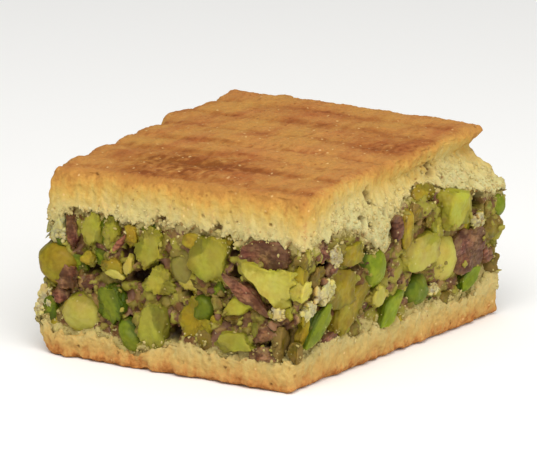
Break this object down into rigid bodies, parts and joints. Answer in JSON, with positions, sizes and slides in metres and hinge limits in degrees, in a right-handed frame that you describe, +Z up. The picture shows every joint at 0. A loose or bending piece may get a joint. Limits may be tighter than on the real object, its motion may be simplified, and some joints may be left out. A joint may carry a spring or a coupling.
{
  "type": "maamoul square",
  "caption": "Hand-cut square of layered pistachio maamoul: a ridged golden top crust, a coarse pistachio filling that shows at every cut side, and a bottom crust.",
  "frame": {"origin": "on the floor under the middle of the block", "axes": "+X along the ridges of the top crust, +Y across them along the longer side, +Z up"},
  "size_m": [0.0533, 0.0574, 0.0312],
  "materials": {
    "top_crust": "matt baked semolina, golden brown on top and pale yellow at the cut",
    "filling": "moist pistachio pieces, yellow-green to leaf green, in a brown paste",
    "bottom_crust": "matt baked semolina, pale yellow with a browned underside"
  },
  "bodies": {
    "root": {"top_crust": "top_crust", "filling": "filling", "bottom_crust": "bottom_crust"}
  },
  "joints": []
}
